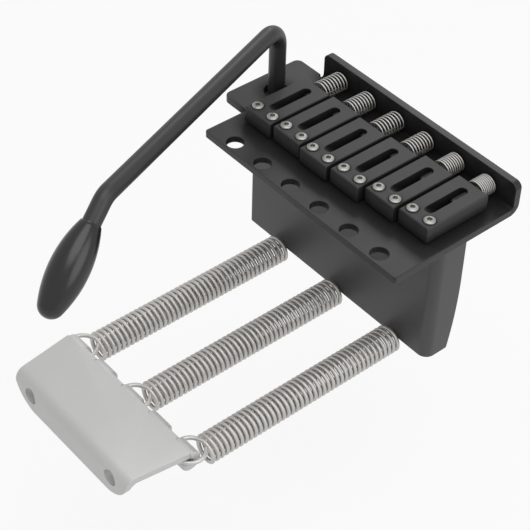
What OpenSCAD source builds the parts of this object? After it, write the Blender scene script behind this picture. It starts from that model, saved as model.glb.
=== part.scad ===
// Six-saddle tremolo bridge with its arm, springs and spring claw.
// Millimetres. The origin is on the top of the base plate, midway along the row of pivot holes.
// +Y runs from the neck to the tail, +Z points away from the guitar's body, and the arm is at -X.

/* [Strings and saddles] */
// Distance between neighbouring strings, and so between saddles and pivot holes
string_pitch = 10.5; // [10.2:0.1:10.9]
// Gap between neighbouring saddles
saddle_gap = 0.8; // [0.6:0.1:1.1]
// Length of a saddle
saddle_l = 19.85; // [19.2:0.05:20.5]
// Height of a saddle's body
saddle_h = 4.4; // [4.2:0.1:4.8]
// Height of a saddle's underside above the base plate
saddle_rise = 0.7; // [0.6:0.1:1]
// Distance from a saddle's front face to its height screws
saddle_nose = 2.44; // [2.2:0.01:2.8]
// Radius of a saddle's lower rear edge
saddle_heel_r = 1.2; // [0.5:0.1:1.4]
// Bevel along a saddle's top edges
saddle_bevel = 0.3; // [0.1:0.05:0.35]
// Distance from the pivot holes back to the height screws of saddle 1, beside the arm
saddle_1_y = 9.5; // [8:0.1:13]
// The same for saddle 2
saddle_2_y = 9.92; // [8:0.1:13]
// The same for saddle 3
saddle_3_y = 9.37; // [8:0.1:13]
// The same for saddle 4
saddle_4_y = 10.04; // [8:0.1:13]
// The same for saddle 5
saddle_5_y = 11.68; // [8:0.1:13]
// The same for saddle 6, furthest from the arm
saddle_6_y = 12.69; // [8:0.1:13]

/* [String slot] */
// Width of the slot that the string comes up through
slot_w = 2.6; // [2.5:0.05:2.9]
// Distance from the height screws back to where the slot's ramp starts
slot_start = 1.6; // [1.5:0.1:2.5]
// Length along the saddle over which the ramp falls to the underside
slot_ramp = 6; // [4:0.5:8]
// Thickness of the saddle's wall behind the slot
slot_wall = 2.6; // [2.2:0.1:3]

/* [Screws] */
// Diameter of the height screws
height_screw_d = 3; // [2.8:0.1:3.1]
// Distance between the two height screws of a saddle
height_screw_gap = 5.7; // [5.6:0.05:5.8]
// How far a height screw's rim stands above the saddle
height_screw_proud = 0.3; // [0.2:0.05:0.8]
// Height of the dome on a height screw
height_screw_dome = 0.35; // [0.2:0.05:0.5]
// Size across the flats of the height screws' hexagon socket
hex_socket = 1.3; // [1.1:0.1:1.5]
// Depth of this socket
hex_depth = 1.6; // [1:0.1:2.5]
// Diameter of the intonation screws
intonation_d = 2.3; // [2.1:0.05:2.4]
// Length of an intonation screw under its head
intonation_l = 15; // [14:0.1:15.6]
// Diameter of an intonation screw's head
intonation_head_d = 4.6; // [4:0.1:5]
// Height of an intonation screw's head
intonation_head_h = 1.9; // [1.6:0.1:2.4]
// Diameter of the screws that hold the block to the base plate
block_screw_d = 3; // [2.8:0.1:3.2]
// Diameter of their countersunk heads
block_screw_head_d = 5.6; // [5.2:0.1:6]
// Length of these screws
block_screw_l = 12; // [8:0.5:14]
// Depth of these heads below the plate's top
block_screw_sink = 0.1; // [0.05:0.05:0.3]
// Bevel at the foot of the height and intonation screws
screw_bevel = 0.4; // [0.2:0.1:0.5]
// Length of the cross in a screw's head, as a share of the head's diameter
cross_share = 0.55; // [0.45:0.05:0.65]
// Width of the cross
cross_w = 0.6; // [0.4:0.1:0.8]
// Depth of the cross
cross_depth = 1; // [0.6:0.1:1.2]

/* [Base plate] */
// Thickness of the base plate
plate_t = 2; // [1.8:0.1:2.5]
// Diameter of the pivot holes
pivot_d = 4.6; // [4:0.1:5]
// Chamfer under each pivot hole, which gives the plate its rocking edge
pivot_chamfer = 0.3; // [0.3:0.1:0.7]
// Distance from the pivot holes forward to the plate's front edge
plate_front = 2.9; // [2.8:0.1:4]
// Width of the plate beyond the last saddle, away from the arm
plate_margin = 3.5; // [3:0.1:5]
// Width of the plate beyond the first saddle, towards the arm
plate_arm_margin = 3.6; // [2.5:0.1:4]
// The same for the flange, whose end stands back from the plate's
flange_arm_margin = 2.6; // [2:0.1:3]
// Distance from the pivot holes back to the flange's inner face
flange_y = 35.7; // [35.2:0.1:37]
// Height of the flange above the plate's top
flange_h = 7.2; // [6.8:0.1:9]
// Inner radius of the bend between plate and flange
bend_r = 0.8; // [0.6:0.1:1]
// Radius of the flange's two top corners
flange_corner_r = 1.8; // [1:0.1:2]
// Distance from the arm's centre line to the ear's outer edge
ear_side = 7.22; // [7:0.01:9]
// Distance from the arm's centre line to the ear's front edge
ear_front = 11.65; // [10:0.1:13]
// Radius of the ear's corners
ear_corner_r = 1.8; // [1:0.1:3]
// Radius of the plate's two front corners
plate_corner_r = 0.6; // [0.3:0.1:1.5]

/* [Tremolo block] */
// Height of the block
block_h = 42.64; // [36:0.1:46]
// Thickness of the block under the base plate
block_t = 9.9; // [9.2:0.1:11]
// Thickness of the block at its bottom
block_foot_t = 7.7; // [7.2:0.01:8.5]
// Distance below the block's top at which its rear face starts to curve in
block_curve_start = 20; // [15:1:32]
// Distance from the pivot holes back to the block's front face
block_y = 17.68; // [17.3:0.1:18]
// Distance from the arm's centre line to the end of the block
block_arm_wall = 4; // [3.5:0.01:5]
// Distance from the last string hole to the other end of the block
block_end_wall = 2.65; // [2.5:0.05:4]
// Radius of the block's exposed vertical edge
block_edge_r = 2.8; // [1:0.1:3]
// Radius of its three other vertical edges
block_corner_r = 0.5; // [0.2:0.1:1]
// Diameter of the string holes
string_hole_d = 3; // [2.6:0.1:3.1]
// Distance from the block's front face back to the string holes
string_hole_y = 4.72; // [4.7:0.02:4.9]
// Chamfer at the foot of each string hole, where the string's ball seats
string_chamfer = 0.4; // [0.2:0.1:0.5]
// Diameter of the holes that the tremolo springs hook into
spring_hole_d = 1.6; // [1.5:0.1:1.8]
// Depth of these holes
spring_hole_depth = 5; // [4.5:0.5:7]
// Wall between these holes and the block's front face
spring_hole_wall = 0.8; // [0.6:0.1:1]
// Space left past a spring's end in its hole
spring_end_gap = 1; // [0.5:0.5:2]

/* [Tremolo arm] */
// Distance from the first saddle's side out to the arm's centre line
arm_side = 5.33; // [5:0.01:6.5]
// Distance from the block's front face back to the arm's centre line
arm_y_in_block = 4.27; // [4.2:0.01:4.8]
// Diameter of the arm's rod
arm_d = 4.45; // [4:0.05:4.8]
// Diameter of its threaded foot
arm_thread_d = 4.2; // [3.8:0.1:4.4]
// Length of the threaded foot in the block
arm_depth = 18; // [12:0.5:24]
// Height of the shaft's centre line above the base plate
arm_height = 19.8; // [16:0.1:26]
// Radius of the bend at the top of the foot
arm_bend_r = 5.6; // [5:0.1:9]
// Distance from the foot to the second bend
arm_reach = 76.9; // [65:0.1:90]
// Radius of the second bend
arm_knee_r = 5.3; // [5:0.1:12]
// How far the second bend turns the arm down, in degrees
arm_drop = 35.3; // [20:0.1:40]
// Distance from the second bend to the tip
arm_tail = 6.8; // [6:0.1:14]
// Direction of the arm, in degrees from the neck towards the strings
arm_heading = 20.1; // [0:0.1:60]

/* [Arm tip] */
// Length of the plastic tip
tip_l = 23; // [20:0.1:26]
// Largest diameter of the tip
tip_d = 9.3; // [8:0.1:11]
// Diameter of the tip where the arm goes in
tip_neck_d = 5; // [5:0.1:5.6]
// Distance from there to the tip's widest place
tip_bulge = 11.1; // [9:0.1:12]
// Depth of the arm's socket in the tip
tip_socket = 14; // [8:0.5:16]
// Space left past the arm's end in this socket
tip_end_gap = 0.5; // [0.2:0.1:1]

/* [Intonation springs] */
// Outer diameter of an intonation spring
intonation_spring_d = 5.3; // [4.6:0.1:5.4]
// Diameter of its wire
intonation_wire = 0.55; // [0.45:0.05:0.6]
// Turns of the coil
intonation_turns = 4; // [3:1:5]

/* [Tremolo springs] */
// Outer diameter of a tremolo spring
spring_d = 7.85; // [7:0.05:8.2]
// Diameter of its wire
spring_wire = 1; // [0.8:0.05:1.1]
// Length of the coil
spring_l = 60.43; // [50:0.01:70]
// Turns of the coil
spring_turns = 18; // [12:1:20]
// Radius of the ring at the spring's end, at the middle of its wire
ring_r = 3.95; // [3.8:0.05:4.2]
// Distance from the coil's end to this ring
ring_lead = 0.75; // [0.6:0.05:1.5]
// Height of the ring above the coil's axis
ring_rise = 3.07; // [2.8:0.01:3.3]
// How far round the ring the wire goes before its free end, in degrees from the strings' middle line
ring_end = 315; // [290:5:315]

/* [Spring claw] */
// Distance between the claw's hooks, and between the spring holes in the block
hook_pitch = 11; // [10.4:0.1:11.4]
// Width of a hook
hook_w = 6; // [5.5:0.1:6.2]
// Outer radius of a hook's curl
hook_r = 2.8; // [2.7:0.1:3.2]
// Length of the straight lip below the curl
hook_lip = 1.8; // [1:0.1:3]
// Length of the straight strip that joins a hook to the sheet
hook_root = 2.6; // [1:0.1:4]
// Thickness of the claw's sheet
claw_t = 2; // [1.6:0.1:2.1]
// Width of the slit beside each hook, where it bends down out of the sheet
hook_slit = 0.2; // [0.2:0.1:0.5]
// Width of the claw along its front edge
claw_w = 50.2; // [47:0.1:54]
// Width of the claw's rear flange
claw_rear_w = 45.8; // [42:0.1:47]
// Depth of the claw from the hooks' front to its rear face
claw_depth = 19.86; // [18:0.01:24]
// How far the hooks stand out of the claw's front edge
hook_proud = 1.55; // [0.5:0.05:1.8]
// Height of the claw's rear flange
claw_h = 8.9; // [8.6:0.1:12]
// Outer radius of the bend between the claw's top and its flange
claw_bend_r = 3.2; // [2:0.1:3.6]
// Radius of the flange's lower corners
claw_corner_r = 8.6; // [3:0.1:8.8]
// Distance between the claw's two screw holes
claw_hole_gap = 33; // [28:0.1:34]
// Diameter of the claw's screw holes
claw_hole_d = 4.4; // [3.6:0.1:4.8]
// Distance of the screw holes below the claw's top
claw_hole_drop = 3.9; // [3.8:0.1:5]
// Distance of the claw's middle from the strings' middle, towards the arm
claw_shift = 5.3; // [4.6:0.1:5.6]

/* [Clearances] */
// Radial running gap of every screw and of the arm in its own hole
running_gap = 0.05; // [0.02:0.01:0.08]
// Radial gap of an intonation screw in the flange, which lets it tilt with its saddle
tilt_gap = 0.3; // [0.2:0.05:0.4]
// Gap between a height screw's foot and the base plate
foot_gap = 0.15; // [0.12:0.01:0.25]
// Gap between an intonation screw's head and the flange
head_gap = 0.3; // [0.2:0.05:0.4]
// Gap between a spring and what it rests against
seat_gap = 0.3; // [0.2:0.05:0.35]
// Gap between a spring's ring and the two corners of the claw's hook that hold it
ring_gap = 0.35; // [0.02:0.01:0.4]
// Radial gap of the arm in the base plate
arm_plate_gap = 1; // [0.6:0.1:1.2]
// Space left under the arm's foot in its hole
arm_end_gap = 2; // [0.5:0.5:4]

/* [Hidden] */

$fn = 48;
// The overlap of two solids that are made one, and how far a cutter runs past the face it opens
eps = 0.01;
over = 1;

strings = 6;
row_half = (strings - 1) / 2 * string_pitch;
saddle_w = string_pitch - saddle_gap;
saddle_y = [saddle_1_y, saddle_2_y, saddle_3_y, saddle_4_y, saddle_5_y, saddle_6_y];
saddle_top = saddle_rise + saddle_h;
saddle_back = saddle_l - saddle_nose;
axis_z = saddle_rise + saddle_h / 2;

arm_x = -(row_half + saddle_w / 2 + arm_side);
arm_y = block_y + arm_y_in_block;
plate_right = row_half + saddle_w / 2 + plate_margin;
plate_left = -(row_half + saddle_w / 2 + plate_arm_margin);
flange_left = -(row_half + saddle_w / 2 + flange_arm_margin);
flange_back = flange_y + plate_t;
strings_y = block_y + string_hole_y;
block_bottom = -plate_t - block_h;

spring_r = (spring_d - spring_wire) / 2;
spring_z = block_bottom - spring_wire / 2 - seat_gap;
spring_front = block_y - seat_gap - spring_wire / 2;
spring_back = spring_front - spring_l;
springs_x = [for (i = [0 : 2]) -claw_shift + (i - 1) * 2 * hook_pitch];
spring_hole_y = block_y + spring_hole_wall + spring_hole_d / 2;

// The ring's inside meets the hook's inner face at the hook's two sides, which sets the hook's place
hook_in_r = hook_r - claw_t;
ring_in_r = ring_r - spring_wire / 2;
ring_y = spring_back - ring_lead - ring_r;
hook_y = ring_y - sqrt(ring_in_r * ring_in_r - hook_w * hook_w / 4) + ring_gap - hook_in_r;
hook_z = spring_z + ring_rise;
claw_top = hook_z + hook_r;
claw_back = hook_y + hook_r - claw_depth;
claw_front = hook_y + hook_r - hook_proud;

function string_x(i) = (i - (strings + 1) / 2) * string_pitch;

// A (y, z) outline, drawn out along X from x0
module along_x(x0, length) {
    translate([x0, 0, 0])
        rotate([90, 0, 90])
            linear_extrude(length)
                children();
}

// An (x, z) outline, drawn out along +Y from y0
module along_y(y0, length) {
    translate([0, y0 + length, 0])
        rotate([90, 0, 0])
            linear_extrude(length)
                children();
}

// What a round corner takes off a square one, at p, where the shape lies on the side that dir points to
module corner_cut(p, dir, r) {
    translate(p)
        difference() {
            translate([dir.x > 0 ? -eps : -r, dir.y > 0 ? -eps : -r])
                square(r + eps);
            translate(dir * r)
                circle(r);
        }
}

// A rectangle from lo to hi; r holds the radii at lower left, lower right, upper right and upper left
module round_rect(lo, hi, r) {
    corners = [lo, [hi.x, lo.y], hi, [lo.x, hi.y]];
    dirs = [[1, 1], [-1, 1], [-1, -1], [1, -1]];
    difference() {
        translate(lo)
            square(hi - lo);
        for (k = [0 : 3])
            if (r[k] > 0)
                corner_cut(corners[k], dirs[k], r[k]);
    }
}

module base_plate() {
    bend_y = flange_y - bend_r;
    color([0.16, 0.16, 0.17])
        difference() {
            union() {
                translate([0, 0, -plate_t])
                    linear_extrude(plate_t) {
                        round_rect([plate_left, -plate_front], [plate_right, bend_y],
                                   [plate_corner_r, plate_corner_r, 0, 0]);
                        plate_ear();
                    }
                intersection() {
                    along_x(flange_left + eps, plate_right - flange_left - 2 * eps)
                        flange_profile(bend_y);
                    along_y(bend_y - over, plate_t + bend_r + 2 * over)
                        round_rect([flange_left, -plate_t - over], [plate_right, flange_h],
                                   [0, 0, flange_corner_r, flange_corner_r]);
                }
            }
            for (i = [1 : strings]) {
                pivot_hole(string_x(i));
                translate([string_x(i), strings_y, -plate_t - over])
                    cylinder(d = string_hole_d, h = plate_t + 2 * over);
                translate([string_x(i), flange_y - over, axis_z])
                    rotate([-90, 0, 0])
                        cylinder(d = intonation_d + 2 * tilt_gap, h = plate_t + 2 * over);
            }
            translate([arm_x, arm_y, -plate_t - over])
                cylinder(d = arm_d + 2 * arm_plate_gap, h = plate_t + 2 * over);
            block_screw_holes();
        }
}

// The ear on the arm's side
module plate_ear() {
    round_rect([arm_x - ear_side, arm_y - ear_front], [flange_left + over, flange_y],
               [ear_corner_r, 0, 0, ear_corner_r]);
}

// Section through the bend and the flange
module flange_profile(bend_y) {
    difference() {
        union() {
            translate([bend_y, bend_r])
                circle(bend_r + plate_t);
            translate([flange_y, bend_r])
                square([plate_t, flange_h - bend_r]);
        }
        translate([bend_y - flange_h, -flange_h])
            square([flange_h, 2 * flange_h]);
        translate([bend_y, bend_r])
            circle(bend_r);
        translate([bend_y - eps, bend_r])
            square([bend_r + eps, flange_h]);
    }
}

module pivot_hole(x) {
    translate([x, 0, -plate_t - over])
        cylinder(d = pivot_d, h = plate_t + 2 * over);
    translate([x, 0, -plate_t - eps])
        cylinder(d1 = pivot_d + 2 * (pivot_chamfer + eps), d2 = pivot_d, h = pivot_chamfer + eps);
}

module tremolo_block() {
    x0 = arm_x - block_arm_wall;
    x1 = row_half + block_end_wall;
    color([0.14, 0.14, 0.15])
        difference() {
            intersection() {
                along_x(x0, x1 - x0)
                    block_profile();
                translate([0, 0, block_bottom - over])
                    linear_extrude(block_h + 2 * over)
                        round_rect([x0, block_y], [x1, block_y + block_t],
                                   [block_corner_r, block_edge_r, block_corner_r, block_corner_r]);
            }
            for (i = [1 : strings]) {
                translate([string_x(i), strings_y, block_bottom - over])
                    cylinder(d = string_hole_d, h = block_h + 2 * over);
                translate([string_x(i), strings_y, block_bottom - eps])
                    cylinder(d1 = string_hole_d + 2 * (string_chamfer + eps), d2 = string_hole_d,
                             h = string_chamfer + eps);
            }
            for (k = [-2 : 2])
                translate([k * hook_pitch - claw_shift, spring_hole_y, block_bottom - over])
                    cylinder(d = spring_hole_d, h = spring_hole_depth + over);
            translate([arm_x, arm_y, -plate_t - arm_depth - arm_end_gap])
                cylinder(d = arm_thread_d + 2 * running_gap, h = arm_depth + arm_end_gap + over);
            block_screw_holes();
        }
}

// Section through the block: upright in front, and curved in towards the foot behind
module block_profile() {
    depth = block_h - block_curve_start;
    step = block_t - block_foot_t;
    r = (depth * depth + step * step) / (2 * step);
    intersection() {
        translate([block_y, block_bottom])
            square([block_t, block_h]);
        union() {
            translate([block_y - over, -plate_t - block_curve_start])
                square([block_t + over, block_curve_start + over]);
            translate([block_y + block_t - r, -plate_t - block_curve_start])
                circle(r, $fn = 360);
        }
    }
}

// A countersunk screw under the plane z = 0, or its hole where gap is more than nothing
module block_screw_shape(gap = 0) {
    cone_h = (block_screw_head_d - block_screw_d) / 2;
    translate([0, 0, -block_screw_l - gap])
        cylinder(d = block_screw_d + 2 * gap, h = block_screw_l + gap - block_screw_sink);
    translate([0, 0, -cone_h - block_screw_sink])
        cylinder(d1 = block_screw_d + 2 * gap, d2 = block_screw_head_d + 2 * gap, h = cone_h);
}

// Puts its children at the middle of each block screw's head
module at_block_screws() {
    for (k = [-1 : 1])
        translate([k * 2 * string_pitch, strings_y, 0])
            children();
}

// The block screws' holes, which open out above their heads
module block_screw_holes() {
    at_block_screws() {
        block_screw_shape(running_gap);
        translate([0, 0, -block_screw_sink - eps])
            cylinder(d = block_screw_head_d + 2 * running_gap, h = block_screw_sink + over);
    }
}

module block_screws() {
    color([0.2, 0.2, 0.21])
        at_block_screws()
            difference() {
                block_screw_shape();
                translate([0, 0, -block_screw_sink])
                    cross_recess(block_screw_head_d);
            }
}

// The cross in a screw's head, cut down from the plane z = 0
module cross_recess(head_d) {
    length = head_d * cross_share;
    for (a = [0, 90])
        rotate([0, 0, a])
            translate([-length / 2, -cross_w / 2, -cross_depth])
                cube([length, cross_w, cross_depth + over]);
}

// A saddle, with y = 0 at its height screws
module saddle_shape() {
    front = -saddle_nose;
    slot_end = saddle_back - slot_wall;
    difference() {
        intersection() {
            along_x(-saddle_w / 2, saddle_w)
                saddle_profile();
            along_y(front - over, saddle_l + 2 * over)
                polygon([
                    [-saddle_w / 2, saddle_rise - over],
                    [saddle_w / 2, saddle_rise - over],
                    [saddle_w / 2, saddle_top - saddle_bevel],
                    [saddle_w / 2 - saddle_bevel, saddle_top],
                    [-saddle_w / 2 + saddle_bevel, saddle_top],
                    [-saddle_w / 2, saddle_top - saddle_bevel]
                ]);
        }
        for (side = [-1, 1])
            translate([side * height_screw_gap / 2, 0, 0])
                cylinder(d = height_screw_d + 2 * running_gap, h = saddle_top + over);
        intersection() {
            translate([0, 0, saddle_rise - over])
                linear_extrude(saddle_h + 2 * over) {
                    translate([-slot_w / 2, slot_start - over])
                        square([slot_w, slot_end - slot_w / 2 - slot_start + over]);
                    translate([0, slot_end - slot_w / 2])
                        circle(d = slot_w);
                }
            along_x(-slot_w, 2 * slot_w)
                polygon([
                    [slot_start, saddle_top],
                    [slot_start + slot_ramp, saddle_rise],
                    [slot_start + slot_ramp, saddle_rise - over],
                    [slot_end + over, saddle_rise - over],
                    [slot_end + over, saddle_top + over],
                    [slot_start, saddle_top + over]
                ]);
        }
        translate([0, slot_end - slot_w / 2, axis_z])
            rotate([-90, 0, 0])
                cylinder(d = intonation_d + 2 * running_gap, h = slot_wall + slot_w);
    }
}

// Section along a saddle: bevelled top edges and a round heel
module saddle_profile() {
    difference() {
        polygon([
            [-saddle_nose, saddle_rise],
            [saddle_back, saddle_rise],
            [saddle_back, saddle_top - saddle_bevel],
            [saddle_back - saddle_bevel, saddle_top],
            [-saddle_nose + saddle_bevel, saddle_top],
            [-saddle_nose, saddle_top - saddle_bevel]
        ]);
        corner_cut([saddle_back, saddle_rise], [-1, 1], saddle_heel_r);
    }
}

module saddle(i) {
    color([0.17, 0.17, 0.18])
        translate([string_x(i), saddle_y[i - 1], 0])
            saddle_shape();
}

// One height screw, standing on its foot, with a hexagon socket in its domed top
module height_screw() {
    rim = saddle_top + height_screw_proud;
    r = height_screw_d / 2;
    dome_r = (r * r + height_screw_dome * height_screw_dome) / (2 * height_screw_dome);
    difference() {
        union() {
            translate([0, 0, foot_gap + screw_bevel])
                cylinder(r = r, h = rim - foot_gap - screw_bevel);
            translate([0, 0, foot_gap])
                cylinder(r1 = r - screw_bevel, r2 = r, h = screw_bevel);
            intersection() {
                translate([0, 0, rim + height_screw_dome - dome_r])
                    sphere(dome_r);
                translate([0, 0, rim - height_screw_dome])
                    cylinder(r = r, h = 2 * height_screw_dome + over);
            }
        }
        translate([0, 0, rim - hex_depth])
            cylinder(d = hex_socket / cos(30), h = hex_depth + height_screw_dome + over, $fn = 6);
    }
}

module height_screws(i) {
    color([0.72, 0.7, 0.67])
        for (side = [-1, 1])
            translate([string_x(i) + side * height_screw_gap / 2, saddle_y[i - 1], 0])
                height_screw();
}

// An intonation screw, from its tip in the saddle's slot to its domed head behind the flange
module intonation_screw(i) {
    head = flange_back + head_gap;
    r = intonation_head_d / 2;
    dome_r = (r * r + intonation_head_h * intonation_head_h) / (2 * intonation_head_h);
    color([0.12, 0.12, 0.13])
        translate([string_x(i), head, axis_z])
            rotate([-90, 0, 0])
                difference() {
                    union() {
                        translate([0, 0, screw_bevel - intonation_l])
                            cylinder(d = intonation_d, h = intonation_l);
                        translate([0, 0, -intonation_l])
                            cylinder(d1 = intonation_d - 2 * screw_bevel, d2 = intonation_d,
                                     h = screw_bevel);
                        intersection() {
                            cylinder(r = r, h = intonation_head_h + over);
                            translate([0, 0, intonation_head_h - dome_r])
                                sphere(dome_r);
                        }
                    }
                    translate([0, 0, intonation_head_h])
                        cross_recess(intonation_head_d);
                }
}

module tremolo_arm() {
    knee = arm_knee_r * tan(arm_drop / 2);
    // The straights run a little way into the knee, which is a hair thicker, so that they join
    knee_swell = 0.02;
    knee_overlap = 0.25;
    color([0.15, 0.15, 0.16])
        arm_frame() {
            translate([0, 0, -plate_t - arm_depth])
                cylinder(d = arm_thread_d, h = plate_t + arm_depth + over);
            cylinder(d = arm_d, h = arm_height - arm_bend_r);
            translate([arm_bend_r, 0, arm_height - arm_bend_r])
                bend(arm_bend_r, 90, 90, arm_d);
            translate([arm_bend_r, 0, arm_height])
                rotate([0, 90, 0])
                    cylinder(d = arm_d, h = arm_reach - knee - arm_bend_r + knee_overlap);
            translate([arm_reach - knee, 0, arm_height - arm_knee_r])
                bend(arm_knee_r, 90 - arm_drop, arm_drop, arm_d + knee_swell);
            tail_frame(knee - knee_overlap)
                cylinder(d = arm_d, h = arm_tail - knee + tip_socket - tip_end_gap + knee_overlap);
        }
}

// Puts its children at the arm's foot, with the arm running along +X
module arm_frame() {
    translate([arm_x, arm_y, 0])
        rotate([0, 0, arm_heading - 90])
            children();
}

// Puts its children on the arm's last straight, a distance behind the second bend, along +Z
module tail_frame(distance) {
    translate([arm_reach, 0, arm_height])
        rotate([0, 90 + arm_drop, 0])
            translate([0, 0, distance])
                children();
}

// Part of a ring of rod of diameter d in the upright plane y = 0, from one angle, through another
module bend(r, from, through, d) {
    rotate([90, 0, 0])
        rotate([0, 0, from])
            rotate_extrude(angle = through)
                translate([r, 0])
                    circle(d = d);
}

// The plastic tip: a long arc from its neck past its widest place, closed by a ball
module arm_tip() {
    drop = (tip_d - tip_neck_d) / 2;
    arc_r = (tip_bulge * tip_bulge + drop * drop) / (2 * drop);
    axis_gap = arc_r - tip_d / 2;
    past = tip_l - tip_bulge;
    ball_r = (arc_r * arc_r - axis_gap * axis_gap - past * past) / (2 * (arc_r - past));
    joint_z = tip_bulge + (past - ball_r) * arc_r / (arc_r - ball_r);
    color([0.07, 0.07, 0.08])
        arm_frame()
            tail_frame(arm_tail)
                difference() {
                    rotate_extrude() {
                        intersection() {
                            square([tip_d, joint_z]);
                            translate([-axis_gap, tip_bulge])
                                circle(arc_r, $fn = 180);
                        }
                        intersection() {
                            translate([0, tip_l - ball_r])
                                circle(ball_r);
                            translate([0, joint_z - eps])
                                square([tip_d, tip_l]);
                        }
                    }
                    translate([0, 0, -over])
                        cylinder(d = arm_d + 2 * running_gap, h = tip_socket + over);
                }
}

// The claw: one bent sheet with five hooks along its front edge
module spring_claw() {
    color([0.76, 0.76, 0.75])
        translate([-claw_shift, 0, 0]) {
            difference() {
                intersection() {
                    along_x(-claw_w / 2, claw_w)
                        claw_profile();
                    translate([0, 0, claw_top - claw_h - over])
                        linear_extrude(claw_h + 2 * over)
                            polygon([
                                [-claw_w / 2, claw_front],
                                [-claw_rear_w / 2, claw_back + claw_bend_r],
                                [-claw_rear_w / 2, claw_back - over],
                                [claw_rear_w / 2, claw_back - over],
                                [claw_rear_w / 2, claw_back + claw_bend_r],
                                [claw_w / 2, claw_front]
                            ]);
                    union() {
                        translate([-claw_w, claw_back + claw_bend_r, claw_top - claw_h - over])
                            cube([2 * claw_w, claw_depth, claw_h + 2 * over]);
                        along_y(claw_back - over, claw_bend_r + 2 * over)
                            round_rect([-claw_rear_w / 2, claw_top - claw_h],
                                       [claw_rear_w / 2, claw_top + over],
                                       [claw_corner_r, claw_corner_r, 0, 0]);
                    }
                }
                for (side = [-1, 1])
                    translate([side * claw_hole_gap / 2, claw_back - over, claw_top - claw_hole_drop])
                        rotate([-90, 0, 0])
                            cylinder(d = claw_hole_d, h = claw_t + 2 * over);
                for (k = [-2 : 2])
                    translate([k * hook_pitch - hook_w / 2 - hook_slit, hook_y, claw_top - claw_t - over])
                        cube([hook_w + 2 * hook_slit, hook_r, claw_t + 2 * over]);
            }
            for (k = [-2 : 2])
                along_x(k * hook_pitch - hook_w / 2, hook_w)
                    hook_profile();
        }
}

// Section through the claw's top, bend and rear flange
module claw_profile() {
    by = claw_back + claw_bend_r;
    bz = claw_top - claw_bend_r;
    difference() {
        union() {
            translate([by, claw_top - claw_t])
                square([claw_front - by, claw_t]);
            intersection() {
                translate([by, bz])
                    circle(claw_bend_r);
                translate([claw_back, bz])
                    square(claw_bend_r + eps);
            }
            translate([claw_back, claw_top - claw_h])
                square([claw_t, claw_h - claw_bend_r + eps]);
        }
        translate([by, bz])
            circle(claw_bend_r - claw_t);
    }
}

// Section through a hook: back from the sheet, round its curl, and along its lip
module hook_profile() {
    difference() {
        union() {
            intersection() {
                translate([hook_y, hook_z])
                    circle(hook_r);
                translate([hook_y, hook_z - hook_r])
                    square([hook_r, 2 * hook_r]);
            }
            translate([hook_y - hook_root, claw_top - claw_t])
                square([hook_root + eps, claw_t]);
            translate([hook_y - hook_lip, hook_z - hook_r])
                square([hook_lip + eps, claw_t]);
        }
        translate([hook_y, hook_z])
            circle(hook_in_r);
    }
}

function unit(v) = v / norm(v);

// Direction of a path at each of its points
function path_dirs(path) = [
    for (k = [0 : len(path) - 1])
        unit(path[min(k + 1, len(path) - 1)] - path[max(k - 1, 0)])
];

// A side direction at each point that turns no more than the path does
function path_sides(dirs, first) = [
    for (k = 0, side = first; k < len(dirs);
         k = k + 1,
         side = k < len(dirs) ? unit(side - (side * dirs[k]) * dirs[k]) : side)
        side
];

// Least distance between the surfaces of a wire's stretches that don't follow each other
function least_gap(path, wire, skip) = min([
    for (a = [0 : len(path) - skip - 1])
        for (b = [a + skip : len(path) - 1])
            norm(path[a] - path[b])
]) - wire;

// A wire along a path of points, with six sides
module wire_tube(path, wire) {
    sides = 6;
    dirs = path_dirs(path);
    first = unit(cross(dirs[0], [0.3, 0.5, 0.8]));
    normals = path_sides(dirs, first);
    n = len(path);
    points = [
        for (k = [0 : n - 1])
            for (j = [0 : sides - 1])
                path[k] + wire / 2 * (cos(360 * j / sides) * normals[k]
                                      + sin(360 * j / sides) * cross(dirs[k], normals[k]))
    ];
    walls = [
        for (k = [0 : n - 2])
            for (j = [0 : sides - 1])
                let (a = k * sides + j, b = k * sides + (j + 1) % sides)
                    each [[a, a + sides, b], [b, a + sides, b + sides]]
    ];
    start = [for (j = [1 : sides - 2]) [0, j, j + 1]];
    end = [for (j = [1 : sides - 2]) [(n - 1) * sides, (n - 1) * sides + j + 1, (n - 1) * sides + j]];
    polyhedron(points, concat(start, walls, end), convexity = 10);
}

// Points of an intonation spring, whose two ends run straight into the saddle and the flange
function intonation_path(i) =
    let (
        start = saddle_y[i - 1] + saddle_back + seat_gap,
        stop = flange_y - seat_gap,
        r = (intonation_spring_d - intonation_wire) / 2,
        steps = intonation_turns * 8,
        coil = stop - start - 2 * intonation_wire,
        at = function (a, y) [string_x(i) + r * sin(a), y, axis_z + r * cos(a)]
    )
    concat(
        [at(0, start), at(0, start + intonation_wire)],
        [for (k = [1 : steps - 1]) at(360 * k / 8, start + intonation_wire + coil * k / steps)],
        [at(0, stop - intonation_wire), at(0, stop)]
    );

module intonation_spring(i) {
    path = intonation_path(i);
    echo(str("least gap in intonation spring ", i), least_gap(path, intonation_wire, 4));
    color([0.72, 0.7, 0.66])
        wire_tube(path, intonation_wire);
}

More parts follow.
